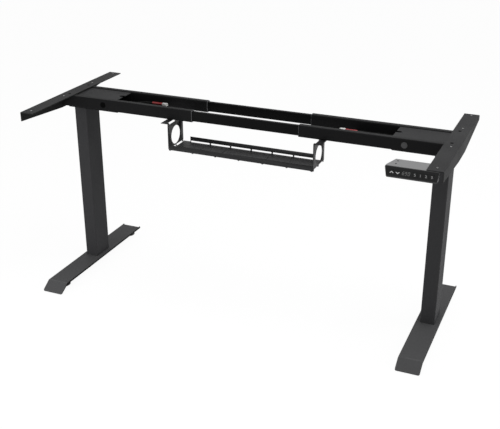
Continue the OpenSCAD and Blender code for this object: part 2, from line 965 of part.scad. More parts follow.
on_side("left") lead_sleeve(left_lead_route);  // left_lead_sleeve
on_side("left") lead_connector(left_lead_route);  // left_lead_connector
on_side("right") foot();  // right_foot
on_side("right") glide(-1);  // right_front_glide
on_side("right") glide(1);  // right_rear_glide
on_side("right") foot_bolts();  // right_foot_bolts
on_side("right") outer_column();  // right_outer_column
on_side("right") column_base();  // right_column_base
on_side("right") drive_nut();  // right_drive_nut
on_side("right") column_bush();  // right_column_bush
on_side("right") inner_column();  // right_inner_column
on_side("right") lower_bush();  // right_lower_bush
on_side("right") spindle();  // right_spindle
on_side("right") mount_channel();  // right_mount_channel
on_side("right") gearbox();  // right_gearbox
on_side("right") motor();  // right_motor
on_side("right") motor_cover();  // right_motor_cover
on_side("right") outer_rail(-1);  // right_front_rail
on_side("right") outer_rail(1);  // right_rear_rail
on_side("right") rail_plug();  // right_rail_plug
on_side("right") lock_screws();  // right_lock_screws
on_side("right") bracket();  // right_bracket
on_side("right") bracket_screws();  // right_bracket_screws
on_side("right") motor_lead(right_lead_route);  // right_motor_lead
on_side("right") lead_sleeve(right_lead_route);  // right_lead_sleeve
on_side("right") lead_connector(right_lead_route);  // right_lead_connector
centre_rail(-1);  // front_centre_rail
centre_rail(1);  // rear_centre_rail
cable_tray();
handset_case();
handset_panel();
handset_key(0);  // up_key
handset_key(1);  // down_key
handset_key(2);  // set_key
handset_key(3);  // key_1
handset_key(4);  // key_2
handset_key(5);  // key_3
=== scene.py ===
# %% [markdown]
# A height-adjustable desk frame, dressed for its portrait. The steel work comes from the exact
# construction model, which already has every fold, hole and tube in its place. Here each piece
# gets its finish, and the small things that a construction model leaves plain are modelled: the
# motor leads with their sleeves and connectors, the tray's fold slots and the handset's marks.

# %% Load the construction model
import json
from math import cos, pi, radians, sin

import bpy
from mathutils import Matrix, Vector


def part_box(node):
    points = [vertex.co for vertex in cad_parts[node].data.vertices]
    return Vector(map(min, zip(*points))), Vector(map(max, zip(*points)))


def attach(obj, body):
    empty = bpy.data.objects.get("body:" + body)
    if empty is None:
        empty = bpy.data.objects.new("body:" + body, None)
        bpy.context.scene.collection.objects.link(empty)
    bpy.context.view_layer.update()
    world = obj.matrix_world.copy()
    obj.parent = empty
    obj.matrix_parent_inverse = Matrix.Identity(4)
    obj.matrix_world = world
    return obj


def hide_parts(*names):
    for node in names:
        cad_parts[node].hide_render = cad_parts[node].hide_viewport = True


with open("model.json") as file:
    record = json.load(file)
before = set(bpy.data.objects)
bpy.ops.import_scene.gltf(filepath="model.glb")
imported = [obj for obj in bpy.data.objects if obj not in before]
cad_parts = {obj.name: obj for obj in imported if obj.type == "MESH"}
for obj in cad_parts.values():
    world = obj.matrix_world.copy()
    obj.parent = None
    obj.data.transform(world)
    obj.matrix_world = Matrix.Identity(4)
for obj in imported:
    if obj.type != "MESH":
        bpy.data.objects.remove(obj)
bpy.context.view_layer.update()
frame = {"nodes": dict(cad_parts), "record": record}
nodes = frame["nodes"]
SIDES = {"left": -1, "right": 1}

# %% [markdown]
# The camera stands to the right of the frame, above it and well back, as the photograph's does.
# A view could be framed by eye, but the edges of the columns, feet and rails give its angles
# exactly: their vanishing points say how far it is turned and tilted, and how long the lens is.

# %% The camera
CAMERA_PLACE = Vector((1.1271, -2.6374, 1.5883))
CAMERA_TURN = radians(23.08)
CAMERA_TILT = radians(23.94)
LENS_IN_PIXELS = 882.1
PHOTO_WIDTH = 500
SENSOR_WIDTH = 36

camera_data = bpy.data.cameras.new("camera")
camera_data.sensor_width = SENSOR_WIDTH
camera_data.lens = LENS_IN_PIXELS / PHOTO_WIDTH * SENSOR_WIDTH
camera = bpy.data.objects.new("camera", camera_data)
camera.location = CAMERA_PLACE
camera.rotation_euler = (pi / 2 - CAMERA_TILT, 0, CAMERA_TURN)
bpy.context.scene.collection.objects.link(camera)
bpy.context.scene.camera = camera
print("lens", round(camera_data.lens, 1), "mm")

# %% [markdown]
# Each motor has one short lead. It comes straight out of the motor's end, swings over to one side
# on the channel's ledge and ends in a sleeve and a connector. The route is the construction
# model's own list of points, so the visible lead lies exactly where the solid one does. A curve
# with automatic handles rounds the route better than straight steps would. It is turned into a
# mesh at once, so that the lead's place is in its own points, as every other piece's is.

# %% The motor leads
LEAD_D = 0.005
# From the motor's end to the sleeve, with y from the leg's middle; the left route's x is mirrored
ROUTES = {
    "left": [
        (0.535, 0.000, 0.657), (0.527, 0.000, 0.657), (0.519, 0.000, 0.657), (0.511, 0.001, 0.657),
        (0.503, 0.002, 0.657), (0.495, 0.005, 0.657), (0.487, 0.009, 0.657), (0.479, 0.014, 0.657),
        (0.471, 0.020, 0.657), (0.463, 0.026, 0.657), (0.455, 0.032, 0.658), (0.446, 0.037, 0.658),
        (0.437, 0.041, 0.659), (0.428, 0.043, 0.659), (0.420, 0.044, 0.659), (0.412, 0.044, 0.659),
    ],
    "right": [
        (0.535, 0.000, 0.657), (0.524, 0.000, 0.657), (0.512, 0.000, 0.657), (0.500, 0.001, 0.657),
        (0.488, 0.004, 0.657), (0.476, 0.008, 0.657), (0.464, 0.012, 0.657), (0.452, 0.016, 0.657),
        (0.440, 0.019, 0.657), (0.428, 0.021, 0.657), (0.416, 0.022, 0.657), (0.404, 0.022, 0.657),
        (0.392, 0.022, 0.658), (0.380, 0.022, 0.659), (0.368, 0.022, 0.659),
    ],
}
low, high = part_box("right_outer_column")
LEG_Y = (low[1] + high[1]) / 2


def select_only(*pieces):
    """Select these objects alone, the first one active."""
    bpy.ops.object.select_all(action="DESELECT")
    for piece in pieces:
        piece.select_set(True)
    bpy.context.view_layer.objects.active = pieces[0]


def lead_on_route(side):
    """One side's lead, round along its route, with the route's points and its length."""
    points = [Vector((SIDES[side] * x, y + LEG_Y, z)) for x, y, z in ROUTES[side]]
    curve = bpy.data.curves.new(side + "_lead", "CURVE")
    curve.dimensions = "3D"
    curve.bevel_depth = LEAD_D / 2
    curve.bevel_resolution = 3
    curve.resolution_u = 4
    curve.use_fill_caps = True
    spline = curve.splines.new("BEZIER")
    spline.bezier_points.add(len(points) - 1)
    for knot, point in zip(spline.bezier_points, points):
        knot.co = point
        knot.handle_left_type = "AUTO"
        knot.handle_right_type = "AUTO"
    piece = bpy.data.objects.new(side + "_lead", curve)
    bpy.context.scene.collection.objects.link(piece)
    select_only(piece)
    bpy.ops.object.convert(target="MESH")
    length = sum((b - a).length for a, b in zip(points, points[1:]))
    return bpy.context.object, points, length


leads = {side: lead_on_route(side) for side in SIDES}
for side, (piece, points, length) in leads.items():
    print(side, "lead", round(length * 1000), "mm")

# %% [markdown]
# Everything else that is modelled here starts as a primitive, is shaped in edit mode and then has
# its place baked into its mesh, so that a pattern on object coordinates stays put when the frame
# is raised. These helpers keep that order the same for each piece. The last one says where a
# lead's sleeve or connector is on either side, with its far end towards the frame's middle.


# %% Helpers for modelling
def settle(piece):
    """Bake an object's place, turn and size into its mesh."""
    select_only(piece)
    bpy.ops.object.transform_apply(location=True, rotation=True, scale=True)
    return piece


def start(name, primitive, **settings):
    """Add a primitive with nothing else selected, and name it."""
    bpy.ops.object.select_all(action="DESELECT")
    primitive(**settings)
    piece = bpy.context.object
    piece.name = name
    piece.data.name = name
    return piece


def pick_faces(piece, wanted):
    """In edit mode, select the faces whose centre and normal the test accepts."""
    bpy.ops.object.mode_set(mode="EDIT")
    bpy.ops.mesh.select_mode(type="FACE")
    bpy.ops.mesh.select_all(action="DESELECT")
    bpy.ops.object.mode_set(mode="OBJECT")
    for face in piece.data.polygons:
        face.select = wanted(face.center, face.normal)
    bpy.ops.object.mode_set(mode="EDIT")


def smooth_by_angle(piece, degrees):
    """Smooth the round faces and keep the corners."""
    select_only(piece)
    bpy.ops.object.shade_smooth_by_angle(angle=radians(degrees))


def copy_to(piece, name, matrix):
    """A copy with its own mesh, moved by a matrix."""
    twin = piece.copy()
    twin.data = piece.data.copy()
    twin.name = name
    twin.data.name = name
    twin.data.transform(matrix)
    bpy.context.scene.collection.objects.link(twin)
    return twin


def lead_end(side, kind):
    """The place of a side's sleeve or connector, turned to face the frame's middle."""
    low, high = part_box(f"{side}_lead_{kind}")
    turn = Matrix.Rotation(pi if side == "left" else 0, 4, "Z")
    return Matrix.Translation((Vector(low) + Vector(high)) / 2) @ turn


for side in SIDES:
    print(side, "sleeve at", [round(v, 3) for v in lead_end(side, "sleeve").translation])

# %% [markdown]
# Where the lead meets its connector, a dark red sleeve is shrunk over the joint. It could stay the
# plain cylinder of the construction model, but a shrunk sleeve shows what is under it: it swells
# over the crimps and closes in at both ends. Cutting a few rings into a cylinder and resizing
# them gives that, and the same sleeve serves both sides.

# %% The sleeves
low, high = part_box("right_lead_sleeve")
SLEEVE_LENGTH = high[0] - low[0]
SLEEVE_R = (high[2] - low[2]) / 2
# Each ring's place, as a share of the length from the middle, and what the ring is resized by
RINGS = ((-0.46, 0.86), (-0.36, 1.0), (-0.1, 0.88), (0.12, 1.0), (0.36, 0.94), (0.46, 0.82))
END_FACE = 0.72
SLEEVE_ROUNDING = SLEEVE_R * 0.16


def resize_ring(piece, x, factor):
    """Cut a ring across a piece at x and resize it about the piece's own axis."""
    select_only(piece)
    bpy.ops.object.mode_set(mode="EDIT")
    bpy.ops.mesh.select_all(action="SELECT")
    bpy.ops.mesh.bisect(plane_co=(x, 0, 0), plane_no=(1, 0, 0))
    bpy.ops.transform.resize(value=(1, factor, factor), center_override=(x, 0, 0))
    bpy.ops.object.mode_set(mode="OBJECT")


def sleeve_at_origin():
    """A shrunk sleeve along X, about the origin."""
    piece = start("sleeve", bpy.ops.mesh.primitive_cylinder_add, vertices=28, radius=SLEEVE_R,
                  depth=SLEEVE_LENGTH, rotation=(0, pi / 2, 0))
    settle(piece)
    for share, factor in RINGS:
        resize_ring(piece, share * SLEEVE_LENGTH, factor)
    pick_faces(piece, lambda centre, normal: abs(normal.x) > 0.9)
    bpy.ops.transform.resize(value=(1, END_FACE, END_FACE))
    bpy.ops.object.mode_set(mode="OBJECT")
    select_only(piece)
    rounder = piece.modifiers.new("round", "BEVEL")
    rounder.width = SLEEVE_ROUNDING
    rounder.segments = 3
    rounder.limit_method = "ANGLE"
    rounder.angle_limit = radians(50)
    bpy.ops.object.modifier_apply(modifier=rounder.name)
    return piece


pattern = sleeve_at_origin()
sleeves = {}
for side in SIDES:
    sleeves[side] = copy_to(pattern, side + "_sleeve", lead_end(side, "sleeve"))
    smooth_by_angle(sleeves[side], 40)
    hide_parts(side + "_lead_sleeve")
bpy.data.objects.remove(pattern)
print("sleeve", round(SLEEVE_LENGTH * 1000), "mm long")

# %% [markdown]
# The white connector is a moulded nylon housing. Its open end has a deep socket with a wall
# between the two pins, and a latch stands on its back. A box with its end inset and pushed in
# reads as that socket at once, and the bevels catch the light as moulded edges do.

# %% The connectors
low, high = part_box("right_lead_connector")
HOUSING_SHARE = 0.98
LENGTH, WIDTH, HEIGHT = [(b - a) * HOUSING_SHARE for a, b in zip(low, high)]
WALL = HEIGHT * 0.14
SOCKET_DEPTH = LENGTH * 0.45
RIB_LENGTH = LENGTH * 0.44
RIB_X = -LENGTH * 0.25
LATCH_LENGTH = LENGTH * 0.5
LATCH_WIDTH = WIDTH * 0.35
LATCH_X = LENGTH * 0.1
LATCH_TOP_X = LENGTH * 0.16


def connector_at_origin():
    """A connector's housing, about the origin, with its socket towards -X."""
    piece = start("housing", bpy.ops.mesh.primitive_cube_add, size=1, scale=(LENGTH, WIDTH, HEIGHT))
    settle(piece)
    pick_faces(piece, lambda centre, normal: normal.x < -0.9)
    bpy.ops.mesh.inset(thickness=WALL)
    bpy.ops.mesh.extrude_region_move(TRANSFORM_OT_translate={"value": (SOCKET_DEPTH, 0, 0)})
    bpy.ops.object.mode_set(mode="OBJECT")
    rib = start("rib", bpy.ops.mesh.primitive_cube_add, size=1,
                location=(RIB_X, 0, 0), scale=(RIB_LENGTH, WALL, HEIGHT - WALL))
    settle(rib)
    latch = start("latch", bpy.ops.mesh.primitive_cube_add, size=1,
                  location=(LATCH_X, 0, HEIGHT / 2 - WALL / 4), scale=(LATCH_LENGTH, LATCH_WIDTH, WALL))
    settle(latch)
    pick_faces(latch, lambda centre, normal: normal.z > 0.9)
    bpy.ops.transform.resize(value=(0.7, 0.8, 1), center_override=(LATCH_TOP_X, 0, 0))
    bpy.ops.object.mode_set(mode="OBJECT")
    select_only(piece, rib, latch)
    bpy.ops.object.join()
    rounder = piece.modifiers.new("round", "BEVEL")
    rounder.width = WALL * 0.35
    rounder.segments = 2
    bpy.ops.object.modifier_apply(modifier=rounder.name)
    return piece


pattern = connector_at_origin()
connectors = {}
for side in SIDES:
    connectors[side] = copy_to(pattern, side + "_connector", lead_end(side, "connector"))
    smooth_by_angle(connectors[side], 30)
    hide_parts(side + "_lead_connector")
bpy.data.objects.remove(pattern)
print("connector", [round(v * 1000, 1) for v in (LENGTH, WIDTH, HEIGHT)], "mm")

# %% [markdown]
# A lead is a cord, which a picture alone can't say: its real length, its width, how it lies and
# what is on its end are facts of their own. The sleeve and the connector
# belong to it, and all three ride on the head of their own leg.

# %% The leads ride on the heads
for side, (piece, points, length) in leads.items():
    body = side + "_head"
    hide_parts(side + "_motor_lead")
    for part in (piece, sleeves[side], connectors[side]):
        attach(part, body)
print(len(leads), "leads declared")

# %% [markdown]
# Powder coat is what covers nearly all of this frame: a thin plastic skin melted onto steel.
# Close up it isn't flat. It has a fine orange peel, a few darker and lighter specks of pigment,
# and broad soft patches where it flowed a little thicker and shines a little more. Each of these
# is a noise of its own size, so the finishes share a few small node helpers.

# %% Finishes: node helpers
finishes = {}


def new_material(name):
    """A new finish with nothing but its shader, and the functions that add and link its nodes."""
    material = bpy.data.materials.new(name)
    material.use_nodes = True
    finishes[name] = material
    tree = material.node_tree
    tree.nodes.clear()
    output = tree.nodes.new("ShaderNodeOutputMaterial")
    shader = tree.nodes.new("ShaderNodeBsdfPrincipled")
    tree.links.new(shader.outputs["BSDF"], output.inputs["Surface"])

    def add(kind, **settings):
        node = tree.nodes.new(kind)
        for key, value in settings.items():
            if hasattr(node, key):
                setattr(node, key, value)
            else:
                node.inputs[key.replace("_", " ")].default_value = value
        return node

    return shader, add, tree.links.new


def grain(add, link, scale, detail, stretch=None):
    """Noise on the object's own coordinates, in lumps per metre."""
    place = add("ShaderNodeTexCoord")
    noise = add("ShaderNodeTexNoise", Scale=scale, Detail=detail)
    source = place.outputs["Object"]
    if stretch:
        mapping = add("ShaderNodeMapping", Scale=stretch)
        link(source, mapping.inputs["Vector"])
        source = mapping.outputs["Vector"]
    link(source, noise.inputs["Vector"])
    return noise.outputs["Fac"]


def spread(add, link, noise, low, high):
    """Turn a noise into a number between low and high."""
    ramp = add("ShaderNodeMapRange", From_Min=0.3, From_Max=0.7, To_Min=low, To_Max=high)
    link(noise, ramp.inputs["Value"])
    return ramp.outputs["Result"]


def tint(add, link, noise, colour, swing):
    """Swing a colour darker and lighter by a noise."""
    ramp = add("ShaderNodeValToRGB")
    ramp.color_ramp.elements[0].position = 0.3
    ramp.color_ramp.elements[1].position = 0.7
    ramp.color_ramp.elements[0].color = [c * (1 - swing) for c in colour] + [1]
    ramp.color_ramp.elements[1].color = [c * (1 + swing) for c in colour] + [1]
    link(noise, ramp.inputs["Fac"])
    return ramp.outputs["Color"]


def bump(add, link, shader, height, distance, strength):
    """Raise the surface by a height socket."""
    node = add("ShaderNodeBump", Distance=distance, Strength=strength)
    link(height, node.inputs["Height"])
    link(node.outputs["Normal"], shader.inputs["Normal"])


def lay_over(add, link, mask, under, colour):
    """Lay a colour over another colour, or over a colour socket, where a mask is one."""
    layer = add("ShaderNodeMix", data_type="RGBA")
    link(mask, layer.inputs["Factor"])
    if isinstance(under, tuple):
        layer.inputs["A"].default_value = (*under, 1)
    else:
        link(under, layer.inputs["A"])
    layer.inputs["B"].default_value = (*colour, 1)
    return layer.outputs["Result"]


slot_of = {part["node"]: part["material_slot"] for part in frame["record"]["subparts"]}
print("finish slots:", ", ".join(sorted(set(slot_of.values()))))

# %% [markdown]
# Coats, bare metals and plastics are three recipes, and each finish is one of them with its own
# numbers. Drawn and turned steel has fine lines along the way it was made, which is the same noise
# stretched. Moulded plastic has the fine spark texture of its tool. A cast housing is uneven in
# the way a coat is, so the gearbox borrows the coat's recipe. The photograph shows the columns,
# rails, covers and tray in slightly different tones, so each of them has a coat of its own.

# %% Finishes: coats, metals and plastics
# Lumps per metre of each noise, from broad flow to fine texture
PATCHES = 7
FLOW = 22
ORANGE_PEEL = 620
STEEL_LINES = 900
SPECKS = 1400
SPARK = 2200
# How deep each texture goes
PEEL_DEPTH = 0.0004
SPARK_DEPTH = 0.0001
LINE_DEPTH = 0.00005


def no_painted_light_and_shade(add, link):
    """A coat with nothing over it."""
    return ()


def powder_coat(name, colour, rough, peel, shine, painted_light_and_shade=no_painted_light_and_shade):
    """Satin powder coat with orange peel and specks, and with painted light and shade, each a mask and a
    colour.
    """
    shader, add, link = new_material(name)
    surface = tint(add, link, grain(add, link, SPECKS, 1), colour, 0.16)
    for mask, painted_colour in painted_light_and_shade(add, link):
        surface = lay_over(add, link, mask, surface, painted_colour)
    link(surface, shader.inputs["Base Color"])
    flowed = spread(add, link, grain(add, link, PATCHES, 3), rough - 0.05, rough + 0.06)
    link(flowed, shader.inputs["Roughness"])
    shader.inputs["Specular IOR Level"].default_value = shine
    bump(add, link, shader, grain(add, link, ORANGE_PEEL, 2), PEEL_DEPTH, peel)


def drawn_steel(name, colour, stretch, rough):
    """Bare steel with the fine lines of drawing or turning."""
    shader, add, link = new_material(name)
    lines = grain(add, link, STEEL_LINES, 2, stretch)
    link(tint(add, link, lines, colour, 0.12), shader.inputs["Base Color"])
    link(spread(add, link, lines, rough - 0.08, rough + 0.1), shader.inputs["Roughness"])
    shader.inputs["Metallic"].default_value = 1.0
    bump(add, link, shader, lines, LINE_DEPTH, 0.3)


def moulded(name, colour, rough, texture=0.2, shine=0.5):
    """Moulded plastic with the fine spark texture of its tool."""
    shader, add, link = new_material(name)
    flow = grain(add, link, FLOW, 2)
    link(tint(add, link, flow, colour, 0.05), shader.inputs["Base Color"])
    link(spread(add, link, flow, rough - 0.04, rough + 0.04), shader.inputs["Roughness"])
    shader.inputs["Specular IOR Level"].default_value = shine
    bump(add, link, shader, grain(add, link, SPARK, 1), SPARK_DEPTH, texture)
    return shader


RAIL_COLOUR = (0.0105, 0.0105, 0.0109)
powder_coat("column_paint", (0.046, 0.046, 0.048), rough=0.55, peel=0.25, shine=0.04)
powder_coat("rail_paint", RAIL_COLOUR, rough=0.45, peel=0.2, shine=0.04)
powder_coat("centre_paint", (0.0045, 0.0045, 0.0047), rough=0.4, peel=0.15, shine=0.03)
powder_coat("cover_paint", (0.036, 0.036, 0.037), rough=0.55, peel=0.25, shine=0.035)
powder_coat("tray_paint", (0.022, 0.022, 0.023), rough=0.45, peel=0.25, shine=0.15)
powder_coat("gear_alloy", (0.28, 0.29, 0.3), rough=0.55, peel=0.5, shine=0.5)
drawn_steel("raw_steel", (0.5, 0.51, 0.53), stretch=(0.05, 0.05, 1.0), rough=0.32)
drawn_steel("zinc", (0.56, 0.57, 0.58), stretch=(1.0, 1.0, 0.2), rough=0.36)
drawn_steel("motor_can", (0.33, 0.34, 0.35), stretch=(1.0, 0.05, 0.05), rough=0.4)
moulded("nylon", (0.72, 0.71, 0.66), rough=0.45)
moulded("plug_plastic", (0.05, 0.05, 0.052), rough=0.5, shine=0.3)
moulded("dead_black", (0.001, 0.001, 0.001), rough=0.5, shine=0.02)
moulded("lead_black", (0.006, 0.006, 0.006), rough=0.45, texture=0.1, shine=0.2)
moulded("sleeve_red", (0.3, 0.028, 0.03), rough=0.4, texture=0.15)
moulded("connector_white", (0.8, 0.8, 0.78), rough=0.4, texture=0.1)
moulded("panel_gloss", (0.008, 0.008, 0.0085), rough=0.25, texture=0.02, shine=0.2)
moulded("key_gloss", (0.0085, 0.0085, 0.009), rough=0.25, texture=0.02, shine=0.2)
print(len(finishes), "plain finishes")

# %% [markdown]
# Three coats carry painted light and shade. A foot's folded edges have painted shade, darker than
# its plate, and its bend at the toe has a painted highlight. A bracket's folded side has painted
# shade too, and its desktop holes have a pale painted glint in their walls. The outer rails have a
# painted highlight on top, and painted light in patches on their cut inner ends. Each mask is a
# comparison on the object's own coordinates or on a normal, which stays put in every view and
# every pose.

# %% Finishes: painted light and shade over a coat
FACING = 0.8
UPRIGHT = 0.5
TOE_BEND_Y = LEG_Y - 0.277
TOE_BEND_REACH = 0.0025
HOLE_X = 0.6965
HOLE_R = 0.0035
HOLE_REACH = HOLE_R * 1.2
HOLE_ROW_Y = LEG_Y - 0.0225
HOLE_ROW_REACH = 0.28
SAWN_WIDTH = 0.0008
SAWN_END_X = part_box("right_front_rail")[0][0] + SAWN_WIDTH
# Size and share of the patches of painted light on the rails' inner ends
END_LIGHT_PATCHES = 260
END_LIGHT_FROM = 0.36
# Painted highlight on the foot's toe bend, and painted shade on its folded edges
PAINTED_BEND_HIGHLIGHT = (0.1, 0.1, 0.102)
PAINTED_EDGE_SHADE = (0.008, 0.008, 0.008)
# Painted shade on the bracket's folded side, and a painted glint in its hole walls
PAINTED_SIDE_SHADE = (0.024, 0.024, 0.0245)
PAINTED_HOLE_GLINT = (0.75, 0.75, 0.75)
# Painted highlight on the rail tops, and painted light on the rails' inner ends
PAINTED_TOP_HIGHLIGHT = (0.023, 0.023, 0.0235)
PAINTED_END_LIGHT = (0.16, 0.16, 0.165)


def axis_socket(add, link, axis, source="Object"):
    """One axis of the object's coordinates, or of its normal."""
    place = add("ShaderNodeTexCoord")
    split = add("ShaderNodeSeparateXYZ")
    link(place.outputs[source], split.inputs["Vector"])
    return split.outputs[axis]


def math_node(add, link, operation, first, second=0):
    """A sum or comparison of a socket and a number or socket."""
    node = add("ShaderNodeMath", operation=operation)
    for socket, value in zip(node.inputs, (first, second)):
        if isinstance(value, (int, float)):
            socket.default_value = value
        else:
            link(value, socket)
    return node.outputs["Value"]


def within(add, link, socket, middle, reach):
    """One where a socket lies within reach of a middle value."""
    offset = math_node(add, link, "SUBTRACT", socket, middle)
    return math_node(add, link, "LESS_THAN", math_node(add, link, "ABSOLUTE", offset), reach)


def upward(add, link):
    """One on the faces that look up."""
    return math_node(add, link, "GREATER_THAN", axis_socket(add, link, "Z", "Normal"), FACING)


def sideways(add, link):
    """One on the faces that look to the left or the right."""
    across = math_node(add, link, "ABSOLUTE", axis_socket(add, link, "X", "Normal"))
    return math_node(add, link, "GREATER_THAN", across, FACING)


def from_middle(add, link):
    """How far a point is from the frame's middle, to either side."""
    return math_node(add, link, "ABSOLUTE", axis_socket(add, link, "X"))


def foot_painted_shading(add, link):
    """A painted highlight on the bend at the toe, and painted shade on the folded edges."""
    bend = within(add, link, axis_socket(add, link, "Y"), TOE_BEND_Y, TOE_BEND_REACH)
    return (bend, PAINTED_BEND_HIGHLIGHT), (sideways(add, link), PAINTED_EDGE_SHADE)


def bracket_painted_shading(add, link):
    """Painted shade on the folded side, and a pale painted glint in the walls of the desktop holes."""
    column = within(add, link, from_middle(add, link), HOLE_X, HOLE_REACH)
    row = within(add, link, axis_socket(add, link, "Y"), HOLE_ROW_Y, HOLE_ROW_REACH)
    upright = within(add, link, axis_socket(add, link, "Z", "Normal"), 0, UPRIGHT)
    wall = math_node(add, link, "MULTIPLY", math_node(add, link, "MULTIPLY", column, row), upright)
    return (sideways(add, link), PAINTED_SIDE_SHADE), (wall, PAINTED_HOLE_GLINT)


def rail_painted_highlights(add, link):
    """A painted highlight on the top faces, and painted light in patches on the inner end."""
    end = math_node(add, link, "LESS_THAN", from_middle(add, link), SAWN_END_X)
    patches = math_node(add, link, "GREATER_THAN", grain(add, link, END_LIGHT_PATCHES, 3), END_LIGHT_FROM)
    painted_end = math_node(add, link, "MULTIPLY", end, patches)
    return (upward(add, link), PAINTED_TOP_HIGHLIGHT), (painted_end, PAINTED_END_LIGHT)


# These coats carry painted light and shade.
coats_with_painted_light_and_shade = {
    "foot_paint": ((0.085, 0.085, 0.087), foot_painted_shading),
    "bracket_paint": ((0.034, 0.034, 0.035), bracket_painted_shading),
    "rail_end": (RAIL_COLOUR, rail_painted_highlights),
}
for name, (colour, painted_light_and_shade) in coats_with_painted_light_and_shade.items():
    powder_coat(name, colour, rough=0.55, peel=0.25, shine=0.04, painted_light_and_shade=painted_light_and_shade)
print("coats with marks:", ", ".join(coats_with_painted_light_and_shade))

# %% [markdown]
# The last three finishes follow no recipe. The handset's shell is dark with its top painted lighter,
# as a sheen, a glide's pad is plastic but its stud is steel, and a raised inner column shows faint
# upright rub lines from its bush. Each piece could be cut in two for this, but a mask keeps it whole.

# %% Finishes: the handset's case, the glides and the inner columns
SHELL = (0.05, 0.05, 0.051)
# The case's lighter top is a painted sheen.
PAINTED_TOP_SHEEN = (0.2, 0.2, 0.203)
PAD_TOP_Z = 0.0081
PAD_PLASTIC = (0.03, 0.03, 0.031)
STUD_STEEL = (0.5, 0.51, 0.52)
RUBBED_COLUMN = (0.036, 0.036, 0.038)


def case_plastic():
    """Dark shell with its top faces painted lighter, as a sheen."""
    shader, add, link = new_material("case_plastic")
    link(lay_over(add, link, upward(add, link), SHELL, PAINTED_TOP_SHEEN), shader.inputs["Base Color"])
    link(spread(add, link, grain(add, link, 30, 2), 0.46, 0.54), shader.inputs["Roughness"])
    shader.inputs["Specular IOR Level"].default_value = 0.3
    bump(add, link, shader, grain(add, link, 2600, 1), SPARK_DEPTH, 0.3)


def glide():
    """Black pad under a steel stud, parted at the top of the pad."""
    shader, add, link = new_material("glide")
    stud = math_node(add, link, "GREATER_THAN", axis_socket(add, link, "Z"), PAD_TOP_Z)
    link(lay_over(add, link, stud, PAD_PLASTIC, STUD_STEEL), shader.inputs["Base Color"])
    link(stud, shader.inputs["Metallic"])
    link(spread(add, link, grain(add, link, 40, 2), 0.42, 0.55), shader.inputs["Roughness"])
    bump(add, link, shader, grain(add, link, SPARK, 1), SPARK_DEPTH, 0.3)


def rubbed_column():
    """Smooth column paint with faint upright rub lines."""
    shader, add, link = new_material("rubbed_column")
    lines = grain(add, link, 420, 2, stretch=(1.0, 1.0, 0.004))
    link(tint(add, link, lines, RUBBED_COLUMN, 0.2), shader.inputs["Base Color"])
    link(spread(add, link, lines, 0.3, 0.42), shader.inputs["Roughness"])
    shader.inputs["Specular IOR Level"].default_value = 0.25
    bump(add, link, shader, lines, LINE_DEPTH, 0.25)


for make in (case_plastic, glide, rubbed_column):
    make()
print(len(finishes), "finishes in all")

# %% [markdown]
# The record says which finish slot each construction node belongs to, so one loop dresses them
# all. A few pieces of a slot wear a finish of their own. The nodes' meshes stay as they are.

# %% Dress the construction nodes
own_finish = {"left_rail_plug": "dead_black"}
for side in SIDES:
    own_finish[side + "_bracket_screws"] = "dead_black"
    own_finish[side + "_inner_column"] = "rubbed_column"
    for end in ("front", "rear"):
        # This rail coat has a painted highlight on its tops and painted light on its inner ends.
        own_finish[f"{side}_{end}_rail"] = "rail_end"
        own_finish[f"{side}_{end}_glide"] = "glide"

for name, piece in nodes.items():
    piece.data.materials.clear()
    piece.data.materials.append(finishes[own_finish.get(name, slot_of[name])])
    smooth_by_angle(piece, 30)
for side in SIDES:
    leads[side][0].data.materials.append(finishes["lead_black"])
    sleeves[side].data.materials.append(finishes["sleeve_red"])
    connectors[side].data.materials.append(finishes["connector_white"])
print("dressed", len(nodes), "nodes")

# %% [markdown]
# The cable tray comes flat and is folded by hand, so every fold is a row of long slots with short
# bridges that bend, and each corner has a small round relief hole. The slots are wide enough to
# cut into both walls of a fold, and daylight shows through them. That is easiest to make as a
# sheet worker would: take the folded tray, lay one cutter over each slot, and punch them out one
# after another with a Boolean.

# %% The tray's fold slots
tray_low, tray_high = (Vector(corner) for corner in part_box("cable_tray"))
TAB_LENGTH = 0.026
END_X = tray_high.x - TAB_LENGTH
BRIDGE = 0.005
PUNCH = 0.0055
OVER = 0.0022
SLOT_CORNER = 0.0015
CORNER_HOLE_R = 0.0032
LONG_SLOTS = 6
END_SLOTS = 2
LIP_INSET = 0.03
CORNER_ROOM = 0.006
END_MARGIN = 0.008
WELD = 0.00001


def punch(low, high):
    """A slot-shaped cutter between two corners, with bevelled ends."""
    low, high = Vector(low), Vector(high)
    piece = start("punch", bpy.ops.mesh.primitive_cube_add, size=1,
                  location=(low + high) / 2, scale=high - low)
    settle(piece)
    bpy.ops.object.mode_set(mode="EDIT")
    bpy.ops.mesh.select_all(action="SELECT")
    bpy.ops.mesh.bevel(offset=SLOT_CORNER, segments=2)
    bpy.ops.object.mode_set(mode="OBJECT")
    return piece


def slots_between(begin, end, count):
    """The two ends of each slot in a row, with a bridge between neighbours."""
    pitch = (end - begin) / count
    return [(begin + i * pitch + BRIDGE / 2, begin + (i + 1) * pitch - BRIDGE / 2) for i in range(count)]


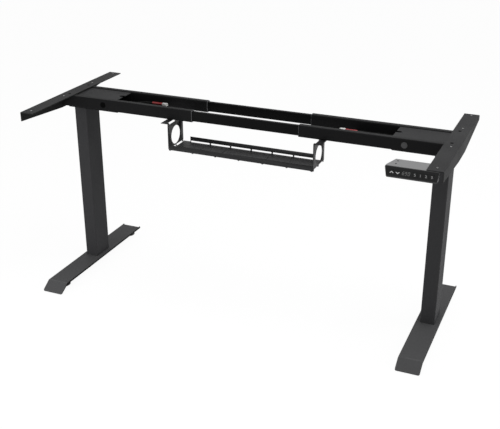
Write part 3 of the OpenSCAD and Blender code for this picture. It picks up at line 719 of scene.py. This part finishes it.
cutters = []
for a, b in slots_between(-END_X + LIP_INSET, END_X - LIP_INSET, LONG_SLOTS):
    low = (a, tray_high.y - PUNCH, tray_low.z - OVER)
    high = (b, tray_high.y + OVER, tray_low.z + PUNCH)
    cutters.append(punch(low, high))
for a, b in slots_between(-END_X + CORNER_ROOM, END_X - CORNER_ROOM, LONG_SLOTS):
    low = (a, tray_low.y - OVER, tray_low.z - OVER)
    high = (b, tray_low.y + PUNCH, tray_low.z + OVER)
    cutters.append(punch(low, high))
for way in SIDES.values():
    near, far = sorted((way * (END_X - PUNCH), way * (END_X + PUNCH)))
    for a, b in slots_between(tray_low.y + END_MARGIN, tray_high.y - END_MARGIN, END_SLOTS):
        cutters.append(punch((near, a, tray_high.z - PUNCH), (far, b, tray_high.z + OVER)))
        cutters.append(punch((near, a, tray_low.z - OVER), (far, b, tray_low.z + PUNCH)))
    for y in (tray_low.y, tray_high.y):
        corner = start("corner_punch", bpy.ops.mesh.primitive_cylinder_add, vertices=24,
                       radius=CORNER_HOLE_R, depth=PUNCH + OVER,
                       location=(way * END_X, y, tray_low.z + (PUNCH - OVER) / 2))
        cutters.append(settle(corner))

tray = copy_to(nodes["cable_tray"], "tray", Matrix.Identity(4))
select_only(tray)
bpy.ops.object.mode_set(mode="EDIT")
bpy.ops.mesh.select_all(action="SELECT")
bpy.ops.mesh.remove_doubles(threshold=WELD)
bpy.ops.object.mode_set(mode="OBJECT")
for cutter in cutters:
    cut = tray.modifiers.new("punch", "BOOLEAN")
    cut.object = cutter
    cut.operation = "DIFFERENCE"
    cut.solver = "EXACT"
    bpy.ops.object.modifier_apply(modifier=cut.name)
    bpy.data.objects.remove(cutter)
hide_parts("cable_tray")
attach(tray, "centre")
print("tray with", len(cutters), "slots and holes,", len(tray.data.polygons), "faces")

# %% [markdown]
# The handset's front is one dark window with pale marks on it: two chevrons that raise and lower
# the desk, a store key and three memory keys. The marks are printed, with a faint painted glow,
# and are thin solid letters and bars just proud of the gloss. A chevron is one arm, mitred at
# the middle and mirrored, because two crossed bars would flicker where they overlap.

# %% The handset's key marks
MARK_T = 0.00012
MARK_EDGE = MARK_T * 0.3
# The glow of the marks is painted light.
MARK_GLOW = 0.2
CHEVRON_REACH = 0.0068
CHEVRON_STROKE = 0.002
CHEVRON_SLOPE = radians(40)
LETTER_HEIGHT = 0.0085
TYPE_SIZE_SHARE = 1.38
LETTERS = {"set_key": "S", "key_1": "1", "key_2": "2", "key_3": "3"}


def lit_mark(name, shade):
    """White print with a faint grain and a faint painted glow."""
    shader = moulded(name, (shade, shade, shade), rough=0.5, texture=0.05, shine=0.2)
    shader.inputs["Emission Color"].default_value = (1, 1, 1, 1)
    shader.inputs["Emission Strength"].default_value = shade * MARK_GLOW


def key_front(key):
    """The middle of a key's front face."""
    low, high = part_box(key)
    return Vector(((low[0] + high[0]) / 2, low[1], (low[2] + high[2]) / 2))


def mark_place(key):
    """The middle of a mark that lies on a key."""
    return key_front(key) - Vector((0, MARK_T / 2, 0))


def bar(name, middle, length, width, turn):
    """A thin flat bar facing the user, turned in its own plane, with bevelled edges."""
    piece = start(name, bpy.ops.mesh.primitive_cube_add, size=1, location=middle,
                  rotation=(0, turn, 0), scale=(length, MARK_T, width))
    settle(piece)
    bpy.ops.object.mode_set(mode="EDIT")
    bpy.ops.mesh.select_all(action="SELECT")
    bpy.ops.mesh.bevel(offset=MARK_EDGE, segments=1)
    bpy.ops.object.mode_set(mode="OBJECT")
    return piece


def joined(name, parts, body, finish):
    """Join the parts of a mark into one piece that rides on a body."""
    select_only(*parts)
    bpy.ops.object.join()
    piece = bpy.context.object
    piece.name = name
    piece.data.name = name
    settle(piece)
    piece.data.materials.clear()
    piece.data.materials.append(finishes[finish])
    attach(piece, body)


def chevron(key, way):
    """A chevron on a key, pointing up for 1 and down for -1: one arm, mitred and mirrored."""
    along = Vector((cos(CHEVRON_SLOPE), 0, -way * sin(CHEVRON_SLOPE)))
    middle = Vector((CHEVRON_REACH / 2 * cos(CHEVRON_SLOPE), 0, 0)) - along * CHEVRON_STROKE / 2
    length = CHEVRON_REACH + CHEVRON_STROKE
    arm = bar(key + "_arm", middle, length, CHEVRON_STROKE, way * CHEVRON_SLOPE)
    bpy.ops.object.mode_set(mode="EDIT")
    bpy.ops.mesh.select_all(action="SELECT")
    bpy.ops.mesh.bisect(plane_co=(0, 0, 0), plane_no=(1, 0, 0), clear_inner=True)
    bpy.ops.object.mode_set(mode="OBJECT")
    mirror = arm.modifiers.new("mirror", "MIRROR")
    mirror.merge_threshold = MARK_T / 20
    bpy.ops.object.modifier_apply(modifier=mirror.name)
    arm.location = mark_place(key)
    joined(key + "_mark", [arm], key, "chevron_white")


def letter(key, text):
    """A printed character on a key."""
    bpy.ops.object.select_all(action="DESELECT")
    bpy.ops.object.text_add(location=(0, 0, 0))
    piece = bpy.context.object
    piece.data.body = text
    piece.data.align_x = "CENTER"
    piece.data.align_y = "CENTER"
    piece.data.size = LETTER_HEIGHT * TYPE_SIZE_SHARE
    piece.data.extrude = MARK_T / 2
    bpy.ops.object.convert(target="MESH")
    piece = bpy.context.object
    piece.rotation_euler = (pi / 2, 0, 0)
    piece.location = mark_place(key)
    joined(key + "_mark", [piece], key, "letter_white")


lit_mark("chevron_white", 0.65)
lit_mark("letter_white", 0.36)
lit_mark("figure_white", 0.26)
chevron("up_key", 1)
chevron("down_key", -1)
for key, text in LETTERS.items():
    letter(key, text)
print("two chevrons and", len(LETTERS), "letters")

# %% [markdown]
# The height is shown by bars, as on any such display. One table says which bars each figure
# lights, so a single loop draws every number. The figures lean a little to the right, and they
# read the height of the frame as it stands, in centimetres.

# %% The figures on the display
# The bars of a figure: top, upper left, upper right, middle, lower left, lower right, bottom
LIT = {"0": (1, 1, 1, 0, 1, 1, 1), "6": (1, 1, 0, 1, 1, 1, 1), "9": (1, 1, 1, 1, 0, 1, 1)}
# Each figure's place from the middle of the display, in figure pitches
READING = ((-1.15, "6"), (-0.15, "9"), (1.05, "0"))
DOT_PLACE = 0.45
FIGURE_W = 0.0046
FIGURE_H = 0.0096
FIGURE_PITCH = FIGURE_W * 1.62
STROKE = 0.0008
STROKE_GAP = STROKE * 0.8
LEAN = 0.18
DISPLAY_SHARE = 0.402
DISPLAY_RISE = 0.0008
case_low, case_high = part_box("handset_case")
panel_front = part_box("handset_panel")[0][1]
display = Vector((
    case_low[0] + (case_high[0] - case_low[0]) * DISPLAY_SHARE,
    panel_front - MARK_T / 2,
    key_front("up_key").z + DISPLAY_RISE,
))


def figure_bars(figure, middle):
    """The lit bars of one figure, leaning a little to the right."""
    half_w, half_h = FIGURE_W / 2, FIGURE_H / 2
    spots = [
        (0, half_h, 0), (-half_w, half_h / 2, 1), (half_w, half_h / 2, 1), (0, 0, 0),
        (-half_w, -half_h / 2, 1), (half_w, -half_h / 2, 1), (0, -half_h, 0),
    ]
    parts = []
    for lit, (x, z, upright) in zip(LIT[figure], spots):
        if lit:
            length = (half_h if upright else FIGURE_W) - STROKE_GAP
            turn = pi / 2 + LEAN if upright else 0
            parts.append(bar("figure_bar", middle + Vector((x + z * LEAN, 0, z)), length, STROKE, turn))
    return parts


parts = []
for place, figure in READING:
    parts += figure_bars(figure, display + Vector((place * FIGURE_PITCH, 0, 0)))
dot = display + Vector((DOT_PLACE * FIGURE_PITCH, 0, -FIGURE_H / 2))
parts.append(bar("figure_dot", dot, STROKE, STROKE, 0))
joined("display_figures", parts, "right_head", "figure_white")
print("display of", len(parts), "bars")

# %% [markdown]
# The stage is a pale floor under a pale sky. The camera sees both as plain white, and so do
# shiny surfaces, while the light that falls on the frame stays soft and level. The floor keeps a
# little of its own shading under that white, so the frame's soft shadow still grounds it. It lies
# a hair below the glides, whose pads would otherwise share its plane.

# %% The floor
FLOOR_SIZE = 60
FLOOR_SHADE = 0.75
FLOOR_GAP = 0.0002
FLOOR_GLOW = 0.9
GLOW_STRENGTH = 1.05


def seen_directly(tree):
    """One where the camera, a reflection or a clear body looks, nought for all other light."""
    path = tree.nodes.new("ShaderNodeLightPath")
    highest = path.outputs["Is Camera Ray"]
    for name in ("Is Glossy Ray", "Is Transmission Ray"):
        pick = tree.nodes.new("ShaderNodeMath")
        pick.operation = "MAXIMUM"
        tree.links.new(highest, pick.inputs[0])
        tree.links.new(path.outputs[name], pick.inputs[1])
        highest = pick.outputs["Value"]
    return highest


def stage_white(name, shade):
    """A pale matt floor that glows white to the camera."""
    material = bpy.data.materials.new(name)
    material.use_nodes = True
    tree = material.node_tree
    shader = tree.nodes["Principled BSDF"]
    shader.inputs["Base Color"].default_value = (shade, shade, shade, 1)
    shader.inputs["Roughness"].default_value = 0.9
    shader.inputs["Specular IOR Level"].default_value = 0.1
    glow = tree.nodes.new("ShaderNodeEmission")
    glow.inputs["Strength"].default_value = GLOW_STRENGTH
    share = tree.nodes.new("ShaderNodeMath")
    share.operation = "MULTIPLY"
    share.inputs[1].default_value = FLOOR_GLOW
    tree.links.new(seen_directly(tree), share.inputs[0])
    blend = tree.nodes.new("ShaderNodeMixShader")
    tree.links.new(share.outputs["Value"], blend.inputs["Fac"])
    tree.links.new(shader.outputs["BSDF"], blend.inputs[1])
    tree.links.new(glow.outputs["Emission"], blend.inputs[2])
    tree.links.new(blend.outputs["Shader"], tree.nodes["Material Output"].inputs["Surface"])
    return material


floor = start("floor", bpy.ops.mesh.primitive_plane_add, size=FLOOR_SIZE, location=(0, 0, -FLOOR_GAP))
settle(floor)
floor.data.materials.append(stage_white("floor_white", FLOOR_SHADE))
print("floor", FLOOR_SIZE, "m across")

# %% [markdown]
# The sky is white to the camera and dimmer as a light, which fills every shadow evenly. Three
# large softboxes give the frame its shape: one high above, one low on the right for the sides
# that face that way, and one low in front for the left foot and column.

# %% The sky and the lamps
SKY_LIGHT = 0.42
world = bpy.data.worlds.new("studio")
bpy.context.scene.world = world
world.use_nodes = True
sky = world.node_tree
level = sky.nodes.new("ShaderNodeMapRange")
level.inputs["To Min"].default_value = SKY_LIGHT
level.inputs["To Max"].default_value = 1.0
sky.links.new(seen_directly(sky), level.inputs["Value"])
sky.links.new(level.outputs["Result"], sky.nodes["Background"].inputs["Strength"])
sky.nodes["Background"].inputs["Color"].default_value = (1, 1, 1, 1)


def softbox(name, place, target, size, power):
    """A large square lamp that faces its target."""
    data = bpy.data.lights.new(name, "AREA")
    data.size = size
    data.energy = power
    lamp = bpy.data.objects.new(name, data)
    lamp.location = place
    lamp.rotation_euler = (Vector(target) - Vector(place)).to_track_quat("-Z", "Y").to_euler()
    bpy.context.scene.collection.objects.link(lamp)
    print(name, "lamp", power, "W")


softbox("key", place=(0.9, -0.1, 2.9), target=(0.3, 0, 0.5), size=1.6, power=34)
softbox("right_side", place=(1.75, 0.1, 0.6), target=(0.7, 0, 0.4), size=0.8, power=3.5)
softbox("left_front", place=(-0.8, -1.45, 0.35), target=(-0.5, 0, 0.2), size=0.9, power=8)
bpy.context.scene.view_settings.view_transform = "Standard"
